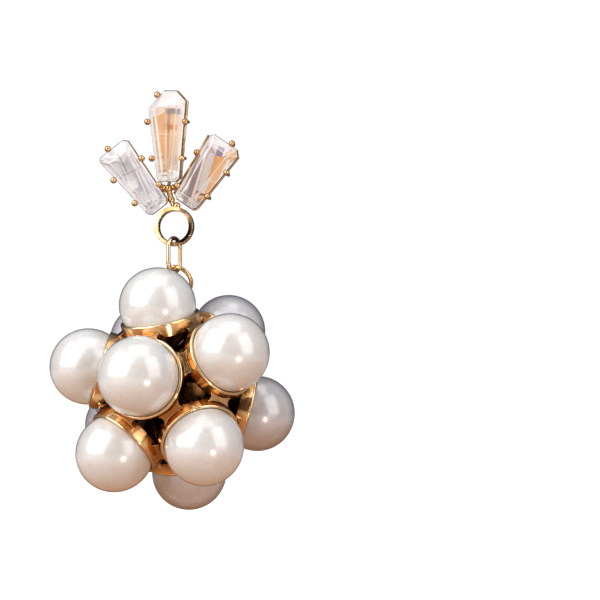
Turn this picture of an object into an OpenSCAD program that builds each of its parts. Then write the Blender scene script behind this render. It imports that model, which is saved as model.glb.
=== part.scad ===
// Drop earring for a pierced ear.
// Three tapered crystals stand in a soldered claw setting with an ear post behind it.
// A band ring under the setting carries an oval link, and the link carries a
// soldered cage of twelve round cups with a pearl glued into each cup.
// Millimetres. +Z is up, the crystals face -Y and the ear post points along +Y.
// The origin is the centre of the back face of the pad that the ear post stands on.

/* [Pearls] */
// Diameter of each pearl
pearl_d = 8; // [7:0.1:8]
// Distance from the middle of the cluster to the middle of a pearl
cluster_r = 9.26; // [9.1:0.01:9.6]
// Lean of the top pearl towards the front, degrees
cluster_lean = 13.5; // [5:0.5:20]
// Lean of the top pearl towards the left, degrees
cluster_tip = 10; // [0:0.5:15]
// Turn of the cluster about its own upright axis, degrees
cluster_turn = 176; // [160:1:190]

/* [Cups] */
// Outer radius of a cup
cup_r = 4.13; // [4.1:0.01:4.3]
// Thickness of the metal sheet
sheet_t = 0.3; // [0.25:0.01:0.35]
// Distance from the middle of the cluster to a cup's lip
lip_s = 7.9; // [7.7:0.05:8]
// Radius of a cup's flat floor
floor_r = 1.6; // [1.4:0.1:1.8]
// Gap between a pearl and the floor of its cup
pearl_gap = 0.06; // [0.04:0.01:0.1]
// Length of the solder web between two cups
solder_len = 2.7; // [2:0.1:3]
// Width of a solder web, from cup to cup
solder_w = 1; // [0.8:0.1:1.2]

/* [Links] */
// Thickness of the wire of the oval link and of the bail
wire_d = 0.45; // [0.4:0.01:0.46]
// Outer width of the oval link
link_w = 2.5; // [2.4:0.05:2.7]
// Turn of the oval link about the upright axis, degrees
link_turn = 53; // [50:1:58]
// Mean radius of the bail ring on the cage
bail_r = 1.57; // [1.5:0.01:1.65]
// Turn of the bail ring about the upright axis, degrees
bail_turn = -30; // [-35:1:-25]
// Lean of the bail ring towards the back, degrees
bail_lean = 30; // [28:1:34]
// Height of the top of the bail's wire above the middle of the cluster
bail_top = 13.28; // [13.2:0.01:13.35]
// Gap between pieces that hang on each other
hang_gap = 0.05; // [0.04:0.01:0.08]

/* [Band ring] */
// Outer radius of the band ring
band_r = 2.1; // [2:0.05:2.3]
// Thickness of the band
band_t = 0.45; // [0.4:0.01:0.5]
// Width of the band, front to back
band_w = 0.8; // [0.7:0.05:0.85]
// Turn of the band ring about the upright axis, degrees
band_turn = -15; // [-20:1:-10]
// Height of the middle of the band ring
band_z = -10.04; // [-10.2:0.01:-9.9]

/* [Hanging place] */
// Distance to the right of the ear post at which the drop hangs
hang_x = 0.8; // [0.6:0.05:1]
// Distance in front of the pad's back face at which the drop hangs
hang_y = 1.5; // [1.3:0.1:1.7]
// Height of the middle of the pearl cluster
cluster_z = -27.4; // [-28:0.1:-27]

/* [Crystals] */
// Height of the crown, girdle to table
crown_h = 0.9; // [0.7:0.05:1]
// Thickness of the girdle
girdle_t = 0.22; // [0.15:0.01:0.3]
// Width of the crown's bevel along the two sides
side_bevel = 0.78; // [0.6:0.01:0.85]
// Width of the crown's bevel at the narrow end
narrow_bevel = 0.8; // [0.6:0.05:1]

/* [Claws and post] */
// Diameter of the wire that the claws and rails are bent from
claw_d = 0.36; // [0.3:0.01:0.4]
// Diameter of the ball at the tip of a claw
claw_ball_d = 0.68; // [0.6:0.01:0.72]
// Gap between the metal and a crystal
stone_gap = 0.06; // [0.04:0.01:0.1]
// Diameter of the ear post
post_d = 0.8; // [0.7:0.05:1]
// Length of the straight part of the ear post
post_len = 10; // [9:0.5:12]
// Diameter of the pad that the ear post stands on
pad_d = 2.6; // [2.2:0.1:3]

/* [Hidden] */
$fn = 48;

// Directions from the middle of a regular icosahedron to its twelve corners.
ring_lat = atan(0.5);
function on_ball(lon, lat) = [cos(lon) * cos(lat), sin(lon) * cos(lat), sin(lat)];
corners = concat(
    [[0, 0, 1]],
    [for (k = [0:4]) on_ball(72 * k, ring_lat)],
    [for (k = [0:4]) on_ball(72 * k + 36, -ring_lat)],
    [[0, 0, -1]]
);
// Neighbouring corners lie 63.4 degrees apart.
neighbours = [for (i = [0:11]) for (j = [i + 1:1:11]) if (corners[i] * corners[j] > 0.4) [i, j]];

function unit(v) = v / norm(v);
function turn_x(v, a) = [v.x, v.y * cos(a) - v.z * sin(a), v.y * sin(a) + v.z * cos(a)];
function turn_y(v, a) = [v.x * cos(a) + v.z * sin(a), v.y, v.z * cos(a) - v.x * sin(a)];
function turn_z(v, a) = [v.x * cos(a) - v.y * sin(a), v.x * sin(a) + v.y * cos(a), v.z];
function cluster_turned(v) = turn_z(turn_y(turn_x(v, -cluster_lean), cluster_tip), cluster_turn);

cluster_mid = [hang_x, -hang_y, cluster_z];
// Thickness of the neck between the top cup and the bail.
neck_d = 0.55;

// A cup's wall ends where two cups touch, and a cone leads from there down to its floor.
touch_s = cup_r / tan(acos(corners[0] * corners[1]) / 2);
touch_r = norm([cup_r, touch_s]);
floor_s = cluster_r - pearl_d / 2 - pearl_gap - sheet_t;
cone_slope = (touch_s - floor_s) / (cup_r - floor_r);
cone_long = norm([1, cone_slope]);

// A solder web starts this far below the place where two cups touch, and has an arch cut into each end.
web_depth = 0.6;
web_h = 1;
arch_r = 0.6;
arch_beyond = 0.35;

// The link's upper arc turns about the band ring's lowest part, and its lower arc
// passes under the top of the bail.
link_arc_r = (link_w - wire_d) / 2;
link_hole_r = link_arc_r - wire_d / 2;
band_floor_z = band_z - band_r + band_t;
band_half = band_w / 2 / cos(90 - link_turn + band_turn);
link_top_z = band_floor_z - sqrt(pow(link_hole_r - hang_gap, 2) - pow(band_half, 2));
link_low_z = cluster_z + bail_top - wire_d / 2 - wire_d - hang_gap + link_arc_r;
bail_down = [-sin(bail_turn) * sin(bail_lean), cos(bail_turn) * sin(bail_lean), -cos(bail_lean)];
bail_mid = cluster_mid + [0, 0, bail_top - wire_d / 2] + bail_r * bail_down;
bail_foot = bail_mid + bail_r * bail_down;

// Each crystal is one row of this table. CROWN_WIDE is the width of its crown's bevel at the wide end.
LENGTH = 0;
WIDE = 1;
NARROW = 2;
CUT_LEFT = 3;
CUT_RIGHT = 4;
CUT_LOW = 5;
CROWN_WIDE = 6;
PLACE = 7;
LEAN = 8;
PITCH = 9;
YAW = 10;
left_stone = [8.1, 3.85, 2.6, 0.35, 0.45, 0.35, 1.15, [-3.3, -2.0, -5.1], -38.6, 4, -9];
centre_stone = [9.6, 4.4, 2.4, 1.9, 1.1, 0.35, 1.7, [0.02, -2.45, -0.58], -1.2, 9, -12];
right_stone = [8.0, 3.95, 2.8, 0.4, 0.6, 0.35, 1.2, [4.05, -2.0, -4.35], 34.3, 4, -9];
// The table's corners are cut by this share of the girdle's corner cuts.
table_cut = 0.2;

// Claws of a crystal: side (-1 left, 1 right, 0 wide end, 2 its left corner cut), then place along the
// side from the wide end, or across the wide end or the corner cut from the left, as a share of it.
side_claws = [[-1, 0.34], [-1, 0.74], [1, 0.34], [1, 0.74]];
left_claws = concat(side_claws, [[0, 0.42]]);
centre_claws = concat(side_claws, [[2, 0.7]]);
right_claws = [[-1, 0.34], [-1, 0.85], [1, 0.34], [1, 0.74], [0, 0.66]];

// The pavilion's step: its height, and how far it goes in at the sides, the wide and the narrow end.
pavilion_step_h = 0.75;
pavilion_step_in = 0.62;
pavilion_wide_in = 0.8;
pavilion_narrow_in = 0.55;
// How fast the pavilion deepens from the step to the keel, and how far the keel ends inside the ends.
keel_slope = 0.62;
keel_wide_in = 1.9;
keel_narrow_in = 1.3;

// The rail's front face behind the girdle's front, its thickness, and its reach out and in from the girdle.
rail_y = 0.55;
rail_t = 0.3;
rail_out = 0.02;
rail_in = 0.17;
// A stub leads from the rail out to the claw. The claw rises this far in front of the girdle, and its
// ball lies this far out and forward of the edge.
stub_d = 0.24;
claw_rise = 0.3;
ball_out = 0.16;
ball_y = 0.4;
// Width and thickness of the straps behind the pavilion, and their gap to it.
strap_w = 0.36;
strap_t = 0.3;
strap_gap = 0.1;
pad_t = 0.7;

// Half the width of a crystal's girdle at height z above its middle.
function half_w(s, z) = (s[NARROW] + (s[WIDE] - s[NARROW]) * (z / s[LENGTH] + 0.5)) / 2;

// Eight corners of a level of the crystal: y is its depth, the insets are measured from the girdle, and
// cut is the size of its corner cuts as a share of the girdle's.
function level(s, y, side_in, wide_in, narrow_in, cut = 1) =
    let (
        top = s[LENGTH] / 2 - wide_in,
        low = narrow_in - s[LENGTH] / 2,
        cl = cut * s[CUT_LEFT],
        cr = cut * s[CUT_RIGHT],
        cn = cut * s[CUT_LOW]
    ) [
        [cl - half_w(s, top) + side_in, y, top],
        [side_in - half_w(s, top - cl), y, top - cl],
        [side_in - half_w(s, low + cn), y, low + cn],
        [cn - half_w(s, low) + side_in, y, low],
        [half_w(s, low) - side_in - cn, y, low],
        [half_w(s, low + cn) - side_in, y, low + cn],
        [half_w(s, top - cr) - side_in, y, top - cr],
        [half_w(s, top) - side_in - cr, y, top]
    ];

function keel_y(s, z) = girdle_t + pavilion_step_h + keel_slope * (half_w(s, z) - pavilion_step_in);

module stone_place(s) {
    translate(s[PLACE]) rotate([0, s[LEAN], 0]) rotate([s[PITCH], 0, 0]) rotate([0, 0, s[YAW]]) children();
}

// Step-cut crystal: a table, eight crown facets, a girdle, eight pavilion steps and a keel with its ends.
module crystal(s) {
    keel_top = s[LENGTH] / 2 - keel_wide_in;
    keel_low = keel_narrow_in - s[LENGTH] / 2;
    rings = concat(
        level(s, -crown_h, side_bevel, s[CROWN_WIDE], narrow_bevel, table_cut),
        level(s, 0, 0, 0, 0),
        level(s, girdle_t, 0, 0, 0),
        level(s, girdle_t + pavilion_step_h, pavilion_step_in, pavilion_wide_in, pavilion_narrow_in)
    );
    points = concat(rings, [[0, keel_y(s, keel_top), keel_top], [0, keel_y(s, keel_low), keel_low]]);
    table = [7, 6, 5, 4, 3, 2, 1, 0];
    sides = [
        for (r = [0:2]) for (i = [0:7])
            let (j = (i + 1) % 8) [8 * r + i, 8 * r + j, 8 * (r + 1) + j, 8 * (r + 1) + i]
    ];
    back = [
        [24, 25, 32], [25, 26, 33, 32], [26, 27, 33], [27, 28, 33],
        [28, 29, 33], [29, 30, 32, 33], [30, 31, 32], [31, 24, 32]
    ];
    stone_place(s) polyhedron(points = points, faces = concat([table], sides, back), convexity = 2);
}

// Round wire from a to b.
module rod(a, b, d) {
    v = b - a;
    translate(a) rotate([0, acos(v.z / norm(v)), atan2(v.y, v.x)]) cylinder(d = d, h = norm(v));
}

// Outline of a crystal's girdle, seen from the front and grown by some amount.
module outline(s, grow) {
    polygon([for (p = level(s, 0, -grow, -grow, -grow)) [p.x, p.z]]);
}

// Flat closed rail behind a crystal's girdle.
module rail(s) {
    translate([0, rail_y + rail_t, 0]) rotate([90, 0, 0]) linear_extrude(rail_t) difference() {
        outline(s, rail_out);
        outline(s, -rail_in);
    }
}

// Claw: up beside the girdle from the rail, with a ball that lies on the crown's edge.
module claw(edge, out) {
    beside = edge + (claw_d / 2 + stone_gap) * out;
    stub = [0, rail_y + rail_t / 2, 0];
    rod(edge - 0.1 * out + stub, beside + stub, stub_d);
    rod(beside + [0, rail_y + rail_t, 0], beside - [0, claw_rise, 0], claw_d);
    translate(edge - [0, ball_y, 0] + ball_out * out) sphere(d = claw_ball_d);
}

function taper(s) = atan((s[WIDE] - s[NARROW]) / 2 / s[LENGTH]);
function claw_edge(s, c) =
    let (girdle = level(s, 0, 0, 0, 0), z = s[LENGTH] * (0.5 - c[1]))
    c[0] == 0 ? [(2 * c[1] - 1) * half_w(s, s[LENGTH] / 2), 0, s[LENGTH] / 2]
    : c[0] == 2 ? girdle[1] + c[1] * (girdle[0] - girdle[1])
    : [c[0] * half_w(s, z), 0, z];
function claw_out(s, c) =
    let (girdle = level(s, 0, 0, 0, 0), cut = unit(girdle[0] - girdle[1]))
    c[0] == 0 ? [0, 0, 1]
    : c[0] == 2 ? [-cut.z, 0, cut.x]
    : [c[0] * cos(taper(s)), 0, -sin(taper(s))];

// V-shaped strap that follows the pavilion behind the keel, from rail to rail.
module back_strap(s, z) {
    side = half_w(s, z + strap_w / 2);
    keel = keel_y(s, z + strap_w / 2);
    step = girdle_t + pavilion_step_h;
    bend = side - pavilion_step_in + strap_gap;
    back = keel + strap_gap + strap_t;
    front = [[side - 0.04, rail_y + 0.06], [bend, step + strap_gap], [0, keel + strap_gap]];
    behind = [[0, back], [bend + 0.1, step + strap_t], [side, rail_y + rail_t - 0.04]];
    translate([0, 0, z - strap_w / 2]) linear_extrude(strap_w) {
        polygon(concat(front, behind));
        mirror([1, 0]) polygon(concat(front, behind));
    }
}

module stone_frame(s, claws) {
    stone_place(s) {
        rail(s);
        for (c = claws) {
            claw(claw_edge(s, c), claw_out(s, c));
        }
        for (share = [0.34, 0.74]) {
            back_strap(s, s[LENGTH] * (0.5 - share));
        }
    }
}

// Short flat tube under the setting, open to the front and to the back.
module band_ring() {
    translate([hang_x, -hang_y, band_z]) rotate([0, 0, band_turn]) rotate([90, 0, 0]) difference() {
        cylinder(r = band_r, h = band_w, center = true, $fn = 96);
        cylinder(r = band_r - band_t, h = band_w + 1, center = true, $fn = 96);
    }
}

module claw_setting() {
    color("goldenrod") {
        stone_frame(left_stone, left_claws);
        stone_frame(centre_stone, centre_claws);
        stone_frame(right_stone, right_claws);
        band_ring();
        ear_post();
        joints();
    }
}

// Solder lumps and short wires between the rails of the three frames and the band ring.
module joints() {
    hub = [0.15, -1.4, -6.0];
    neck = [0.47, -1.2, -7.15];
    ring_top = [hang_x, -hang_y, band_z + band_r - band_t / 2];
    on_rails = [[-0.46, -1.31, -6.41], [0.26, -0.99, -5.19]];
    for (end = on_rails) {
        rod(hub + 0.3 * unit(end - hub), end, 0.34);
        translate(end) sphere(r = 0.22);
    }
    rod(hub, neck, 0.6);
    rod(neck, ring_top, 0.5);
    translate(hub) sphere(r = 0.44);
    translate(hub + [-0.6, 0.02, 0.12]) sphere(r = 0.36);
    translate(hub + [0.58, 0.04, 0.16]) rotate([0, 90, 0]) sphere(r = 0.34);
    translate(neck) sphere(r = 0.38);
    translate([1.05, -1.6, -7.85]) sphere(r = 0.4);
}

module ear_post() {
    translate([0, -0.3, 0]) rotate([-90, 0, 0]) cylinder(d = post_d, h = post_len + 0.3);
    translate([0, post_len, 0]) rotate([-90, 0, 0]) cylinder(d1 = post_d, d2 = post_d / 2, h = post_d / 2);
    rotate([90, 0, 0]) cylinder(d = pad_d, h = pad_t);
}

module crystal_left() {
    color("lavender") crystal(left_stone);
}

module crystal_centre() {
    color("peachpuff") crystal(centre_stone);
}

module crystal_right() {
    color("wheat") crystal(right_stone);
}

// Arc of round wire in the XZ plane, from angle a over sweep degrees.
module wire_arc(r, a, sweep) {
    rotate([90, 0, 0]) rotate([0, 0, a]) rotate_extrude(angle = sweep) translate([r, 0]) circle(d = wire_d);
}

module oval_link() {
    color("gold") translate([hang_x, -hang_y, 0]) rotate([0, 0, link_turn]) {
        translate([0, 0, link_top_z]) wire_arc(link_arc_r, 0, 180);
        translate([0, 0, link_low_z]) wire_arc(link_arc_r, 180, 180);
        for (side = [-1, 1]) {
            translate([side * link_arc_r, 0, link_low_z - 0.1])
                cylinder(d = wire_d - 0.02, h = link_top_z - link_low_z + 0.2);
        }
    }
}

// Half section of a cup: floor, cone and wall. The hollow is taken in by the sheet's thickness.
module cup_section(inset, top) {
    polygon([
        [0, floor_s + inset],
        [floor_r - inset * (cone_long - 1) / cone_slope, floor_s + inset],
        [cup_r - inset, touch_s + inset * (cone_long - cone_slope)],
        [cup_r - inset, top],
        [0, top]
    ]);
}

// Web of solder between two neighbouring cups, with an arch at each end.
module solder(a, b) {
    mid = unit(a + b);
    across = unit(b - a);
    lon = atan2(mid.y, mid.x);
    polar = acos(mid.z);
    east = [-sin(lon), cos(lon), 0];
    south = [cos(lon) * cos(polar), sin(lon) * cos(polar), -sin(polar)];
    rotate([0, polar, lon]) rotate([0, 0, atan2(across * east, across * south)]) difference() {
        translate([-solder_w / 2, -solder_len / 2, touch_r - web_depth]) cube([solder_w, solder_len, web_h]);
        for (end = [-1, 1]) {
            translate([0, end * (solder_len / 2 + arch_beyond), touch_r - web_depth - 1])
                cylinder(r = arch_r, h = web_h + 2);
        }
    }
}

module at_corner(v) {
    rotate([0, acos(v.z), atan2(v.y, v.x)]) children();
}

module cage_body() {
    difference() {
        union() {
            for (v = corners) {
                at_corner(v) rotate_extrude() cup_section(0, lip_s);
            }
            for (p = neighbours) {
                solder(corners[p[0]], corners[p[1]]);
            }
        }
        for (v = corners) {
            at_corner(v) rotate_extrude() cup_section(sheet_t, lip_s + 0.5);
        }
    }
}

// The bail ring and the short neck that it is soldered on by, behind the top pearl.
module bail() {
    top_axis = cluster_turned(corners[0]);
    foot = bail_foot - cluster_mid;
    out = unit(foot - (foot * top_axis) * top_axis);
    rod(cluster_mid + (lip_s - 0.35) * top_axis + (cup_r - 0.05) * out, bail_foot, neck_d);
    translate(bail_mid) rotate([0, 0, bail_turn]) rotate([bail_lean, 0, 0]) rotate([90, 0, 0])
        rotate_extrude() translate([bail_r, 0]) circle(d = wire_d);
}

module pearl_cage() {
    color("darkgoldenrod") {
        translate(cluster_mid) rotate([-cluster_lean, cluster_tip, cluster_turn]) cage_body();
        bail();
    }
}

module pearl(index) {
    color("ivory") translate(cluster_mid + cluster_r * cluster_turned(corners[index - 1]))
        sphere(d = pearl_d, $fn = 96);
}

claw_setting();
crystal_left();
crystal_centre();
crystal_right();
oval_link();
pearl_cage();
pearl(1);  // pearl_01
pearl(2);  // pearl_02
pearl(3);  // pearl_03
pearl(4);  // pearl_04
pearl(5);  // pearl_05
pearl(6);  // pearl_06
pearl(7);  // pearl_07
pearl(8);  // pearl_08
pearl(9);  // pearl_09
pearl(10);  // pearl_10
pearl(11);  // pearl_11
pearl(12);  // pearl_12
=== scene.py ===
import math

import bmesh
import bpy
from mathutils import Matrix, Vector


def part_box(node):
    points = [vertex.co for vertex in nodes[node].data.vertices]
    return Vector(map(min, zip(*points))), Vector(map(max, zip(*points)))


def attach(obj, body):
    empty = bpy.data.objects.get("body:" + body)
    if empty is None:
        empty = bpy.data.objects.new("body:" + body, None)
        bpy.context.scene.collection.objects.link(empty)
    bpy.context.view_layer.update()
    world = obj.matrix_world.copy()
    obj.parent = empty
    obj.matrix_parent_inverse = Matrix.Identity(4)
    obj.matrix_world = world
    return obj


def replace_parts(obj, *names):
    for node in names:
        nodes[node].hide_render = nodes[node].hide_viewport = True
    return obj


MM = 0.001
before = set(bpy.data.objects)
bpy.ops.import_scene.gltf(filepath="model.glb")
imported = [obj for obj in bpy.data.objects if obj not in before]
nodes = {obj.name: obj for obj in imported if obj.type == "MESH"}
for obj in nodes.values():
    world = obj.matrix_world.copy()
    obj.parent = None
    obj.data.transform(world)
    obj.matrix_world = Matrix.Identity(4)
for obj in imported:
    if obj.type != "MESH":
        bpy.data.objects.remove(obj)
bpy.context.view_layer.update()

# Middle of the pearl cluster, in mm.
CLUSTER = (0.8, -1.5, -27.4)
CLUSTER_AT = Vector(CLUSTER) * MM


# ---------------------------------------------------------------- node helpers
class Tree:
    """Short way to write the shader nodes of a material or of the world."""

    def __init__(self, owner, output="ShaderNodeOutputMaterial"):
        owner.use_nodes = True
        self.owner = owner
        self.tree = owner.node_tree
        self.tree.nodes.clear()
        self.out = self.add(output)

    def add(self, kind, **values):
        node = self.tree.nodes.new(kind)
        for key, value in values.items():
            setattr(node, key, value)
        return node

    def put(self, value, socket):
        """Feeds a socket with another socket or with a constant."""
        if isinstance(value, bpy.types.NodeSocket):
            self.tree.links.new(value, socket)
        else:
            socket.default_value = value

    def compute(self, kind, operation, *values):
        """Number from a math or vector math node."""
        node = self.add(kind, operation=operation)
        for socket, value in zip(node.inputs, values):
            self.put(value, socket)
        return node.outputs["Value"]

    def coords(self):
        """Object coordinates in millimetres."""
        mapping = self.add("ShaderNodeMapping")
        mapping.inputs["Scale"].default_value = (1 / MM, 1 / MM, 1 / MM)
        self.put(self.add("ShaderNodeTexCoord").outputs["Object"], mapping.inputs["Vector"])
        return mapping.outputs["Vector"]

    def facing(self):
        """0 where the surface faces the viewer, 1 at its outline."""
        node = self.add("ShaderNodeLayerWeight")
        node.inputs["Blend"].default_value = 0.5
        return node.outputs["Facing"]

    def noise(self, vector, scale, detail=2.0, rough=0.5, distortion=0.0):
        node = self.add("ShaderNodeTexNoise")
        node.inputs["Scale"].default_value = scale
        node.inputs["Detail"].default_value = detail
        node.inputs["Roughness"].default_value = rough
        node.inputs["Distortion"].default_value = distortion
        self.put(vector, node.inputs["Vector"])
        return node.outputs["Fac"]

    def ramp(self, fac, stops):
        node = self.add("ShaderNodeValToRGB")
        elements = node.color_ramp.elements
        while len(elements) < len(stops):
            elements.new(0.5)
        for element, (place, color) in zip(elements, stops):
            element.position = place
            element.color = (*color, 1.0)
        self.put(fac, node.inputs["Fac"])
        return node.outputs["Color"]

    def span(self, fac, low, high, to_low, to_high):
        """Maps low..high to to_low..to_high and stays at the ends outside."""
        node = self.add("ShaderNodeMapRange")
        node.inputs["From Min"].default_value = low
        node.inputs["From Max"].default_value = high
        node.inputs["To Min"].default_value = to_low
        node.inputs["To Max"].default_value = to_high
        self.put(fac, node.inputs["Value"])
        return node.outputs["Result"]

    def blend(self, share, a, b):
        """Colour a, a socket, where share is 0 and b, a socket or a colour, where it is 1."""
        node = self.add("ShaderNodeMix", data_type="RGBA")
        self.put(share, node.inputs["Factor"])
        self.put(a, node.inputs["A"])
        self.put(b if isinstance(b, bpy.types.NodeSocket) else (*b, 1.0), node.inputs["B"])
        return node.outputs["Result"]

    def bump(self, height, strength, distance):
        node = self.add("ShaderNodeBump")
        node.inputs["Strength"].default_value = strength
        node.inputs["Distance"].default_value = distance
        self.put(height, node.inputs["Height"])
        return node

    def shader(self, **values):
        """Principled shader on the output, with its inputs by name."""
        node = self.add("ShaderNodeBsdfPrincipled")
        for key, value in values.items():
            self.put(value, node.inputs[key.replace("_", " ")])
        self.put(node.outputs["BSDF"], self.out.inputs["Surface"])


# ------------------------------------------------------------------- materials
# Painted shade: towards its outline the plating's colour turns to this brown, in place of dark reflections.
PAINTED_OUTLINE_SHADE = (0.12, 0.045, 0.012)
WAVE_DEPTH = 0.12 * MM


def gold(name, pale, deep, rough, bevel, outline=(0.28, 0.90), painted_shade_and_reflection=None, wavy=0.04):
    """Polished plating with a soft colour drift, fine polishing marks and a slightly uneven surface.

    bevel is how far edges look rounded, in mm. outline says from where to where the colour turns to the
    painted brown shade, 0 facing the viewer and 1 at the outline. hollow is (middle in mm, dark radius,
    bright radius, colour): towards the middle the colour turns to that one, which paints shade and a dark
    reflection there.
    """
    t = Tree(bpy.data.materials.new(name))
    at = t.coords()
    color = t.ramp(t.noise(at, 0.9), [(0.3, deep), (0.7, pale)])
    # Painted shade and dark reflection: the colour darkens towards a middle point.
    if painted_shade_and_reflection:
        centre, dark_r, bright_r, dark = painted_shade_and_reflection
        away = t.compute("ShaderNodeVectorMath", "DISTANCE", at, centre)
        color = t.blend(t.span(away, dark_r, bright_r, 1.0, 0.0), color, dark)
    # Painted shade: the colour turns brown towards the outline, by the viewing angle.
    color = t.blend(t.span(t.facing(), *outline, 0.0, 1.0), color, PAINTED_OUTLINE_SHADE)
    round_edge = t.add("ShaderNodeBevel", samples=8)
    round_edge.inputs["Radius"].default_value = bevel * MM
    wave = t.bump(t.noise(at, 0.8, detail=0.5), wavy, WAVE_DEPTH)
    t.put(round_edge.outputs["Normal"], wave.inputs["Normal"])
    t.shader(
        Base_Color=color,
        Metallic=1.0,
        Roughness=t.span(t.noise(at, 2.5), 0.3, 0.7, rough * 0.7, rough * 1.4),
        Normal=wave.outputs["Normal"],
    )
    return t.owner


def pearl(name, light, warm, rim, reach, rim_gloss=1.0):
    """Nacre-like lacquer: cream body with a warm mottle, under a coat.

    Over the last reach towards the outline, the body turns to the rim colour, a painted shade, and the coat
    to rim_gloss.
    """
    t = Tree(bpy.data.materials.new(name))
    at = t.coords()
    cloud = t.noise(at, 0.35, detail=3.0, rough=0.55, distortion=0.4)
    grain = t.noise(at, 5.0, detail=5.0, rough=0.75)
    mottle = t.compute("ShaderNodeMath", "MULTIPLY_ADD", grain, 0.9, cloud)
    body = t.ramp(t.span(mottle, 0.84, 1.20, 0.0, 1.0), [(0.0, light), (1.0, warm)])
    facing = t.facing()
    rim_from, rim_full = 1.0 - reach, 0.85
    # Painted shade: towards the outline the body turns to the rim colour.
    t.shader(
        Base_Color=t.blend(t.span(facing, rim_from, rim_full, 0.0, 1.0), body, rim),
        Metallic=0.0,
        Roughness=t.span(grain, 0.3, 0.7, 0.22, 0.32),
        IOR=2.0,
        Normal=t.bump(grain, 0.05, 0.03 * MM).outputs["Normal"],
        Coat_Weight=t.span(facing, rim_from, rim_full, 1.0, rim_gloss),
        Coat_Roughness=0.21,
        Coat_IOR=1.9,
    )
    return t.owner


def glass(name, tint, clear, ior=1.12):
    """Clear cut crystal with a hard polish; clear is how much of it is see-through."""
    t = Tree(bpy.data.materials.new(name))
    wave = t.noise(t.coords(), 0.8)
    brighter = tuple(min(1.0, c * 1.03) for c in tint)
    t.shader(
        Base_Color=t.ramp(wave, [(0.3, tint), (0.7, brighter)]),
        Metallic=0.0,
        Roughness=0.02,
        IOR=ior,
        Transmission_Weight=clear,
        Coat_Weight=1.0,
        Coat_Roughness=0.01,
        Coat_IOR=1.6,
        Normal=t.bump(wave, 0.05, 0.05 * MM).outputs["Normal"],
    )
    return t.owner


def foil(name, pale, deep, glow, axes, cuts_full, cuts_gone, marks):
    """Bright back facet seen through the stone, whose colours and glow paint its inner reflections and
    light: faint streaks, small cuts at the narrow end, painted marks.

    axes are the stone's long and cross directions. Along the long one, the cuts are full up to cuts_full
    and have faded at cuts_gone, in mm.
    A mark is (long place, cross place, half length, half width, colour), in mm along the axes.
    """
    faint = 0.12
    t = Tree(bpy.data.materials.new(name))
    at = t.coords()
    streak = t.noise(at, 0.7, detail=3.0, rough=0.6, distortion=0.8)
    color = t.ramp(streak, [(0.35, deep), (0.65, pale)])
    long_at, cross_at = (t.compute("ShaderNodeVectorMath", "DOT_PRODUCT", at, axis) for axis in axes)

    end = t.span(long_at, cuts_full, cuts_gone, 1.0, faint)
    cuts = t.add("ShaderNodeTexVoronoi", feature="F1", distance="CHEBYCHEV")
    cuts.inputs["Scale"].default_value = 1.5
    t.put(at, cuts.inputs["Vector"])
    shade = tuple(0.6 * c for c in deep)
    cells = t.ramp(cuts.outputs["Color"], [(0.25, shade), (0.5, pale), (0.75, (0.98, 0.98, 0.99))])
    color = t.blend(t.span(end, faint, 1.0, 0.0, 0.9), color, cells)

    for long_place, cross_place, half_long, half_wide, mark in marks:
        in_length = t.compute("ShaderNodeMath", "COMPARE", long_at, long_place, half_long)
        in_width = t.compute("ShaderNodeMath", "COMPARE", cross_at, cross_place, half_wide)
        color = t.blend(t.compute("ShaderNodeMath", "MULTIPLY", in_length, in_width), color, mark)

    height = t.compute("ShaderNodeMath", "MULTIPLY", cuts.outputs["Distance"], end)
    t.shader(
        Base_Color=color,
        Metallic=0.2,
        Roughness=0.2,
        Normal=t.bump(height, 0.5, 0.25 * MM).outputs["Normal"],
        # Painted light: the backing glows in its own colour.
        Emission_Color=color,
        Emission_Strength=glow,
    )
    return t.owner


gold_setting = gold(
    "setting_gold",
    pale=(1.0, 0.74, 0.42),
    deep=(0.68, 0.34, 0.10),
    rough=0.07,
    bevel=0.14,
    outline=(0.14, 0.60),
    # Painted black reflection at the lower right of the band ring.
    painted_shade_and_reflection=((1.18, -1.9, -10.36), 1.38, 1.52, (0.02, 0.012, 0.008)),
    wavy=0.12,
)
gold_link = gold(
    "link_gold",
    pale=(1.0, 0.84, 0.58),
    deep=(0.97, 0.64, 0.30),
    rough=0.06,
    bevel=0.05,
    outline=(0.08, 0.55),
)
gold_cage = gold(
    "cage_gold",
    pale=(0.98, 0.64, 0.31),
    deep=(0.86, 0.46, 0.17),
    rough=0.14,
    bevel=0.08,
    # Painted shade between the cups.
    painted_shade_and_reflection=(CLUSTER, 7.7, 8.75, (0.20, 0.085, 0.03)),
)
gold_lip = gold("lip_gold", pale=(1.0, 0.80, 0.52), deep=(0.96, 0.62, 0.30), rough=0.12, bevel=0.02)
pearl_light = pearl(
    "pearl_cream",
    light=(0.87, 0.89, 0.895),
    warm=(0.775, 0.745, 0.705),
    rim=(0.36, 0.35, 0.38),
    reach=0.30,
)
# Darker, greyer copy of the pearl material for the pearls further back: painted shade.
pearl_grey = pearl(
    "pearl_grey",
    light=(0.66, 0.66, 0.70),
    warm=(0.50, 0.44, 0.42),
    rim=(0.17, 0.175, 0.24),
    reach=0.60,
    rim_gloss=0.25,
)
bevel_glass = glass("crystal_bevel", (1.0, 0.995, 1.0), 0.88, ior=1.3)
body_glass = glass("crystal_body", (0.95, 0.945, 0.96), 0.85)
# Painted highlight: near-opaque white on the narrow edge bevels, for bright lines along the facet edges.
painted_edge_highlight = glass("crystal_edge", (1.0, 1.0, 1.0), 0.15)
# Painted dark reflection: near-black on the rim between crown and girdle.
painted_rim_reflection = glass("crystal_rim", (0.05, 0.05, 0.055), 0.0)


def give(obj, material):
    obj.data.materials.clear()
    obj.data.materials.append(material)


PEARLS = range(1, 13)
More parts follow.
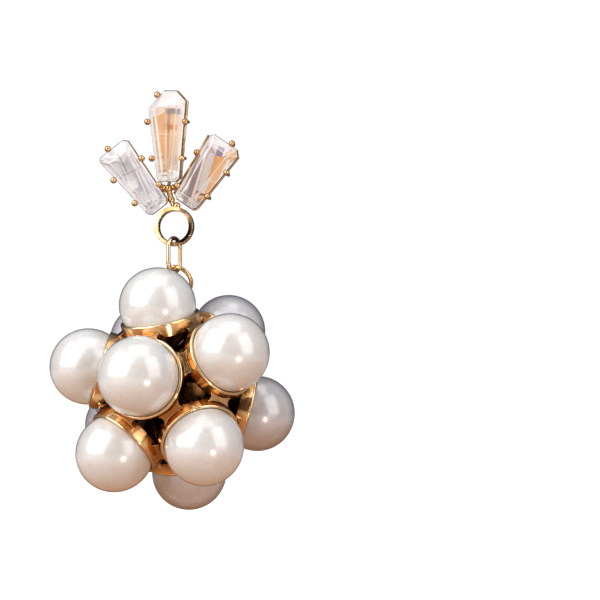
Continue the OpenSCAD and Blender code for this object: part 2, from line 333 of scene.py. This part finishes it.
# Painted shade: the pearls further back, which look greyer, take a darker copy of the pearl material.
SHADED_PEARLS = (5, 6, 9, 10, 11, 12)
give(nodes["claw_setting"], gold_setting)
give(nodes["oval_link"], gold_link)
give(nodes["pearl_cage"], gold_cage)
for k in PEARLS:
    give(nodes["pearl_%02d" % k], pearl_grey if k in SHADED_PEARLS else pearl_light)


# ---------------------------------------------------------------------- pieces
def place_object(name, data):
    obj = bpy.data.objects.new(name, data)
    bpy.context.scene.collection.objects.link(obj)
    return obj


def piece(name, bm, body, slot, *materials, smooth=True):
    """Turns bm into a piece that rides on a body."""
    mesh = bpy.data.meshes.new(name)
    bm.to_mesh(mesh)
    bm.free()
    for polygon in mesh.polygons:
        polygon.use_smooth = smooth
    obj = place_object(name, mesh)
    for material in materials:
        mesh.materials.append(material)
    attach(obj, body)
    return obj


def middle(name):
    low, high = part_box(name)
    return (Vector(low) + Vector(high)) / 2


def along_axis(place, axis):
    """Matrix that sets local Z along axis, at place."""
    turn = Vector((0, 0, 1)).rotation_difference(axis).to_matrix().to_4x4()
    return Matrix.Translation(place) @ turn


def torus(bm, place, ring_r, wire_r):
    """Adds a ring of round wire; place turns local XY into its plane."""
    around, across = 72, 12
    rows = []
    for i in range(around):
        a = 2 * math.pi * i / around
        row = []
        for j in range(across):
            b = 2 * math.pi * j / across
            r = ring_r + wire_r * math.cos(b)
            spot = Vector((r * math.cos(a), r * math.sin(a), wire_r * math.sin(b)))
            row.append(bm.verts.new(place @ spot))
        rows.append(row)
    for i in range(around):
        for j in range(across):
            k, m = (i + 1) % around, (j + 1) % across
            bm.faces.new((rows[i][j], rows[k][j], rows[k][m], rows[i][m]))


# Rounded lips of the cups: the cups' outer radius and sheet as in the CAD source, the lip's distance from
# the middle of the cluster, and the radius of its round, in mm.
CUP_R, SHEET_T, LIP_AWAY, LIP_ROUND = 4.13, 0.3, 7.9, 0.175
bm = bmesh.new()
for k in PEARLS:
    axis = (middle("pearl_%02d" % k) - CLUSTER_AT).normalized()
    place = along_axis(CLUSTER_AT + axis * (LIP_AWAY * MM), axis)
    torus(bm, place, (CUP_R - SHEET_T / 2) * MM, LIP_ROUND * MM)
bmesh.ops.recalc_face_normals(bm, faces=bm.faces)
piece("cup_lips", bm, "drop", "cage_gold", gold_lip)

# -------------------------------------------------------------------- crystals
# Tint of the glass in the table.
TABLE = {
    "crystal_left": (0.86, 0.845, 0.85),
    "crystal_centre": (1.0, 0.76, 0.55),
    "crystal_right": (0.95, 0.89, 0.84),
}
# Pale and deep colour of the backing, which paints the stone's inner reflections: left and right of the keel,
# and the facets around them.
FOIL = {
    "crystal_left": {
        "main_left": ((0.84, 0.83, 0.86), (0.56, 0.54, 0.57)),
        "main_right": ((0.80, 0.78, 0.82), (0.60, 0.57, 0.61)),
        "side": ((0.95, 0.95, 0.97), (0.85, 0.84, 0.88)),
    },
    "crystal_centre": {
        "main_left": ((0.92, 0.63, 0.40), (0.80, 0.50, 0.28)),
        "main_right": ((1.0, 0.84, 0.66), (0.96, 0.74, 0.52)),
        "side": ((0.95, 0.95, 0.97), (0.86, 0.86, 0.90)),
    },
    "crystal_right": {
        "main_left": ((0.82, 0.80, 0.83), (0.62, 0.59, 0.63)),
        "main_right": ((0.96, 0.60, 0.28), (0.80, 0.40, 0.12)),
        "side": ((0.94, 0.94, 0.96), (0.85, 0.84, 0.88)),
    },
}
# Painted light: how much each part of the backing glows, in place of the light that a real stone sends back.
GLOW = {"main_left": 0.16, "main_right": 0.16, "side": 0.38}
# Painted inner reflections, and a dark bar for a bracket seen through the right stone: x and z in mm, half
# length and half width along and across the stone in mm, colour.
# A later one covers an earlier one.
MARKS = {
    "crystal_left": [
        (-2.63, -5.20, 2.2, 0.05, (0.45, 0.43, 0.46)),
        (-2.80, -5.29, 2.4, 0.09, (1.0, 1.0, 1.0)),
        (-3.83, -5.87, 2.4, 0.06, (1.0, 1.0, 1.0)),
        (-3.96, -5.94, 2.2, 0.04, (0.45, 0.43, 0.46)),
        (-3.5, -5.6, 0.45, 0.35, (0.98, 0.98, 0.99)),
        (-4.7, -3.4, 0.9, 0.10, (0.50, 0.48, 0.50)),
        (-3.9, -4.3, 0.06, 0.9, (0.48, 0.46, 0.48)),
        (-1.9, -7.0, 0.35, 0.5, (0.95, 0.95, 0.97)),
    ],
    "crystal_centre": [
        (1.15, -0.5, 3.9, 0.36, (0.95, 0.92, 0.90)),
        (-0.25, -0.8, 3.2, 0.08, (1.0, 0.92, 0.84)),
        (0.45, 2.25, 0.30, 0.65, (0.52, 0.48, 0.54)),
        (0.25, 0.55, 0.27, 0.27, (0.80, 0.36, 0.12)),
        (0.0, -0.2, 0.05, 1.4, (1.0, 0.93, 0.85)),
        (0.12, -1.6, 1.7, 0.05, (1.0, 0.95, 0.88)),
    ],
    "crystal_right": [
        (5.55, -2.1, 0.42, 0.38, (0.34, 0.30, 0.42)),
        (4.77, -4.78, 2.5, 0.50, (0.96, 0.56, 0.24)),
        (4.01, -4.31, 2.4, 0.30, (0.90, 0.88, 0.90)),
        (5.43, -5.16, 2.7, 0.24, (0.95, 0.93, 0.92)),
        (2.80, -4.90, 2.6, 0.26, (0.34, 0.29, 0.32)),
        (3.35, -4.45, 2.3, 0.10, (0.97, 0.96, 0.98)),
        (3.55, -6.35, 0.16, 0.55, (0.36, 0.14, 0.03)),
        (4.7, -4.9, 0.06, 0.60, (1.0, 0.85, 0.62)),
    ],
}
# From the narrow end, the small cuts are full over the first share of the stone's length and gone at the
# second.
CUTS_FULL, CUTS_GONE = 0.12, 0.42
# Facets whose normal leans forward more than this belong to the crown.
CROWN_FACING = 0.15
# The two large facets beside the keel face back more than the first value, and lean along the stone less than
# the second.
MAIN_FACING, MAIN_LEAN = 0.80, 0.35
# Bevel of the rim between crown and girdle, bevel of all other edges, and gap from glass to backing, in mm.
RIM_BEVEL, EDGE_BEVEL, BACKING_GAP = 0.10, 0.045, 0.04


def facets(stone):
    """The crystal's solid as a mesh with whole facets."""
    bm = bmesh.new()
    bm.from_mesh(nodes[stone].data)
    bmesh.ops.remove_doubles(bm, verts=bm.verts, dist=1e-6)
    bmesh.ops.dissolve_limit(bm, angle_limit=math.radians(1), verts=bm.verts, edges=bm.edges)
    bm.normal_update()
    return bm


def stone_axes(bm):
    """Table, and the long, cross and depth directions of a crystal."""
    table = max((f for f in bm.faces if f.normal.y < -0.9), key=lambda f: f.calc_area())
    depth = -table.normal.normalized()
    corners = sorted((v.co for v in table.verts), key=lambda c: c.z)
    low, high = corners[:2], corners[-2:]
    rise = (high[0] + high[1] - low[0] - low[1]) / 2
    along = (rise - rise.dot(depth) * depth).normalized()
    return table, along, depth.cross(along).normalized(), depth


def bevel_edges(bm, edges, width, material_index):
    made = bmesh.ops.bevel(bm, geom=edges, offset=width * MM, segments=1, affect="EDGES", profile=0.5)
    for f in made["faces"]:
        f.material_index = material_index


def stone_glass(stone):
    """The cut stone in glass, with finely bevelled edges, in place of the CAD crystal."""
    table_face, crown_face, back_face, edge_face, rim_face = range(5)
    looks = (glass(stone + "_table", TABLE[stone], 1.0), bevel_glass, body_glass, painted_edge_highlight, painted_rim_reflection)
    bm = facets(stone)
    table, _, _, depth = stone_axes(bm)
    for f in bm.faces:
        in_crown = -f.normal.dot(depth) > CROWN_FACING
        f.material_index = table_face if f is table else crown_face if in_crown else back_face
    rim = [e for e in bm.edges if sorted(f.material_index for f in e.link_faces) == [crown_face, back_face]]
    bevel_edges(bm, rim, RIM_BEVEL, rim_face)
    plain = [e for e in bm.edges if all(f.material_index != rim_face for f in e.link_faces)]
    bevel_edges(bm, plain, EDGE_BEVEL, edge_face)
    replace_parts(piece(stone + "_glass", bm, "stud", stone, *looks, smooth=False), stone)


def stone_backing(stone):
    """Bright facets just inside the glass of the pavilion, which carry the painted inner reflections and
    glow.
    """
    left_face, right_face, side_face = range(3)
    bm = facets(stone)
    _, along, cross, depth = stone_axes(bm)
    front = [f for f in bm.faces if f.normal.dot(depth) < CROWN_FACING]
    bmesh.ops.delete(bm, geom=front, context="FACES")
    bm.normal_update()
    for v in bm.verts:
        v.co -= v.normal * (BACKING_GAP * MM)
    for f in bm.faces:
        if f.normal.dot(depth) < MAIN_FACING or abs(f.normal.dot(along)) > MAIN_LEAN:
            f.material_index = side_face
        else:
            f.material_index = left_face if f.normal.dot(cross) < 0 else right_face

    reach = [v.co.dot(along) / MM for v in bm.verts]
    low, high = min(reach), max(reach)
    mid_y = sum(v.co.y for v in bm.verts) / len(bm.verts) / MM
    marks = []
    for x, z, half_long, half_wide, color in MARKS[stone]:
        spot = Vector((x, mid_y, z))
        marks.append((spot.dot(along), spot.dot(cross), half_long, half_wide, color))
    axes = (tuple(along), tuple(cross))
    ends = [low + share * (high - low) for share in (CUTS_FULL, CUTS_GONE)]
    looks = []
    for part, glow in GLOW.items():
        pale, deep = FOIL[stone][part]
        looks.append(foil("%s_%s" % (stone, part), pale, deep, glow, axes, *ends, marks))
    piece(stone + "_backing", bm, "stud", stone, *looks, smooth=False)


for stone in FOIL:
    stone_glass(stone)
    stone_backing(stone)

# Depth of the girdle's back edge behind the table, as in the CAD source, and how near to it a corner has to
# be to count, in mm.
CROWN_H, GIRDLE_T = 0.9, 0.22
GIRDLE_BACK = CROWN_H + GIRDLE_T
NEAR = 0.03
# Radius of the frames' fine wire, and how far it lies outside the girdle and in front of its back edge, mm.
WIRE_R, WIRE_OUT, WIRE_FRONT = 0.12, 0.13, 0.05


def side_wire(out, stone, side):
    """Adds the wire of the frame that shows beside a stone; side is -1 left or 1 right."""
    bm = facets(stone)
    table, _, cross, depth = stone_axes(bm)
    front = table.verts[0].co.dot(depth)

    def at_back(v):
        return abs(v.co.dot(depth) - front - GIRDLE_BACK * MM) < NEAR * MM

    girdle = [e for e in bm.edges if all(at_back(v) for v in e.verts)]
    longest = sorted(girdle, key=lambda e: e.calc_length())[-2:]
    edge = max(longest, key=lambda e: side * (e.verts[0].co + e.verts[1].co).dot(cross))
    shift = (side * WIRE_OUT * cross - WIRE_FRONT * depth) * MM
    a, b = (v.co + shift for v in edge.verts)
    bm.free()
    bmesh.ops.create_cone(
        out,
        cap_ends=True,
        segments=16,
        radius1=WIRE_R * MM,
        radius2=WIRE_R * MM,
        depth=(b - a).length,
        matrix=along_axis((a + b) / 2, (b - a).normalized()),
    )


bm = bmesh.new()
side_wire(bm, "crystal_right", -1)
side_wire(bm, "crystal_centre", 1)
piece("side_wires", bm, "stud", "setting_gold", gold_setting)

# ------------------------------------------------------------ floor and lights
# Half the width and the height of the floor, in metres.
FLOOR_HALF, FLOOR_Z = 1.5, -0.075
# The warm patch under the earring is full up to the first distance from the origin and gone at the second,
# in mm. It shows only in the light on the earring, because the camera sees the floor plain white.
PATCH_R, PATCH_GONE_R = 110.0, 300.0
PATCH_COLOR, FLOOR_COLOR, PATCH_GLOW = (0.26, 0.12, 0.05), (0.80, 0.77, 0.75), (0.19, 0.09, 0.033)
BLACK, WHITE = (0.0, 0.0, 0.0), (1.0, 1.0, 1.0)

floor_mesh = bpy.data.meshes.new("floor")
bm = bmesh.new()
bmesh.ops.create_grid(bm, x_segments=1, y_segments=1, size=FLOOR_HALF)
bmesh.ops.translate(bm, verts=bm.verts, vec=(0, 0, FLOOR_Z))
bm.to_mesh(floor_mesh)
bm.free()
floor = place_object("floor", floor_mesh)
t = Tree(bpy.data.materials.new("pale_floor"))
away = t.compute("ShaderNodeVectorMath", "LENGTH", t.coords())
warmth = t.span(away, PATCH_R, PATCH_GONE_R, 0.0, 1.0)
warm_glow = t.ramp(warmth, [(0.0, PATCH_GLOW), (1.0, BLACK)])
seen = t.add("ShaderNodeLightPath").outputs["Is Camera Ray"]
t.shader(
    Base_Color=t.ramp(warmth, [(0.0, PATCH_COLOR), (1.0, FLOOR_COLOR)]),
    Roughness=0.8,
    Emission_Color=t.blend(seen, warm_glow, WHITE),
    Emission_Strength=1.0,
)
floor_mesh.materials.append(t.owner)

# Colours in which the studio lights the object, from the viewer's side (0) to behind it (1). The camera
# sees it plain white.
STUDIO = [
    (0.06, (0.34, 0.24, 0.16)),
    (0.28, (0.60, 0.56, 0.54)),
    (0.50, (1.0, 1.0, 1.0)),
    (0.80, (0.95, 0.94, 0.97)),
    (0.97, (0.14, 0.14, 0.17)),
]
STUDIO_LIGHT, STUDIO_SEEN = 0.32, 1.05

world = bpy.data.worlds.new("studio")
bpy.context.scene.world = world
t = Tree(world, "ShaderNodeOutputWorld")
around = t.add("ShaderNodeSeparateXYZ")
t.put(t.add("ShaderNodeTexCoord").outputs["Generated"], around.inputs["Vector"])
studio = t.ramp(t.span(around.outputs["Y"], -1.0, 1.0, 0.0, 1.0), STUDIO)
mix = t.add("ShaderNodeMixShader")
t.put(t.add("ShaderNodeLightPath").outputs["Is Camera Ray"], mix.inputs["Fac"])
for place, color, strength in ((1, studio, STUDIO_LIGHT), (2, (*WHITE, 1.0), STUDIO_SEEN)):
    background = t.add("ShaderNodeBackground")
    t.put(color, background.inputs["Color"])
    t.put(strength, background.inputs["Strength"])
    t.put(background.outputs["Background"], mix.inputs[place])
t.put(mix.outputs["Shader"], t.out.inputs["Surface"])

# Point that the lights aim at.
TARGET = Vector((0.8, -1.5, -22.0)) * MM


def softbox(name, angle, height, distance, wide, tall, power, color=WHITE, shape="RECTANGLE"):
    """Area light aimed at the object; angle 0 is in front and positive to the right, height is upwards."""
    light = bpy.data.lights.new(name, "AREA")
    light.shape = shape
    light.size = wide
    light.size_y = tall
    light.energy = power
    light.color = color
    obj = place_object(name, light)
    a, h = math.radians(angle), math.radians(height)
    direction = Vector((math.sin(a) * math.cos(h), -math.cos(a) * math.cos(h), math.sin(h)))
    obj.location = TARGET + direction * distance
    obj.rotation_euler = direction.to_track_quat("Z", "Y").to_euler()


softbox("key_left", angle=-58.5, height=30, distance=0.40, wide=0.46, tall=0.46, power=1.70)
softbox(
    "fill_right",
    angle=48,
    height=24,
    distance=0.40,
    wide=0.26,
    tall=0.42,
    power=0.62,
    color=(0.98, 0.98, 1.0),
)
softbox("top", angle=10, height=78, distance=0.40, wide=0.30, tall=0.30, power=0.36)
# Small lamp for the round sparks on the pearls.
softbox(
    "spark",
    angle=24,
    height=-18,
    distance=0.12,
    wide=0.018,
    tall=0.018,
    power=0.014,
    color=(1.0, 0.82, 0.76),
    shape="DISK",
)

# ---------------------------------------------------------------------- camera
PHOTO_PX = 600.0
SENSOR_MM = 36.0
FOCAL_PX = 1190.0
# How far the photo's middle lies right of and above the point straight ahead of the camera.
RIGHT_PX, UP_PX = 126.0, 45.0
CAMERA_AT = Vector((0.8, -128.35, -22.6)) * MM

camera_data = bpy.data.cameras.new("camera")
camera_data.sensor_width = SENSOR_MM
camera_data.lens = FOCAL_PX / PHOTO_PX * SENSOR_MM
camera_data.clip_start = 0.005
camera_data.clip_end = 20.0
camera = place_object("camera", camera_data)
camera.location = CAMERA_AT
forward = Vector((RIGHT_PX / FOCAL_PX, 1.0, UP_PX / FOCAL_PX)).normalized()
camera.rotation_euler = (-forward).to_track_quat("Z", "Y").to_euler()
bpy.context.scene.camera = camera
bpy.context.scene.view_settings.view_transform = "Standard"
